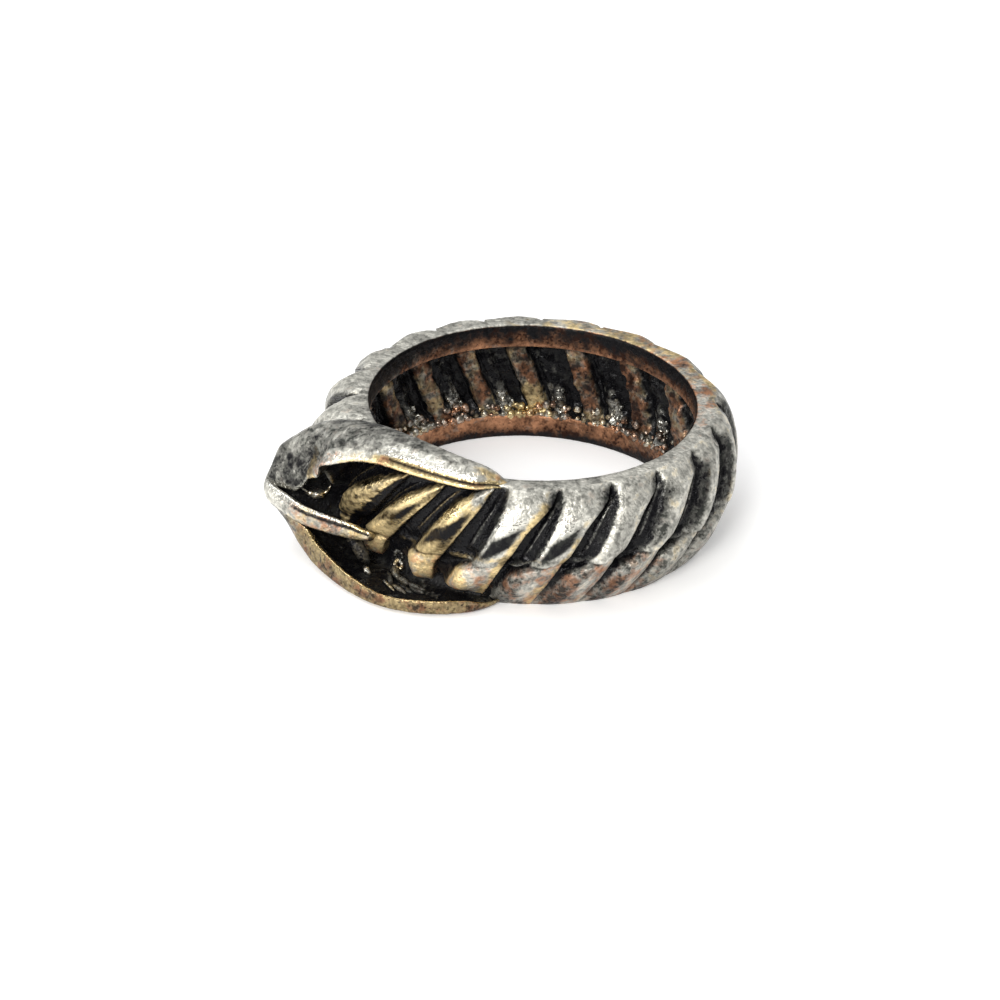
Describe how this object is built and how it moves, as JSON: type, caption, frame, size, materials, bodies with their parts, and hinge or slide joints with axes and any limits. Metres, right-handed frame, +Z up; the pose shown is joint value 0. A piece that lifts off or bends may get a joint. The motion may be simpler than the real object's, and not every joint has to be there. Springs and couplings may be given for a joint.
{
  "type": "knot ring",
  "caption": "One-piece finger ring: a band of slanted rope-like ribs that run into the open, leaf-shaped mouth of a knot, with a thin strand across it.",
  "frame": {"origin": "on the finger hole's axis, halfway between the band's two rims", "axes": "+Z up along the finger hole's axis, with the ring lying on its lower rim; the knot faces -X and -Y, with its pointed tip near -X"},
  "size_m": [0.0251, 0.0224, 0.0082],
  "materials": {
    "worn_silver_plate": "silver plate, darkened in the recesses and worn through to brass and copper on the edges"
  },
  "bodies": {
    "root": {"knot_ring": "worn_silver_plate"}
  },
  "joints": []
}
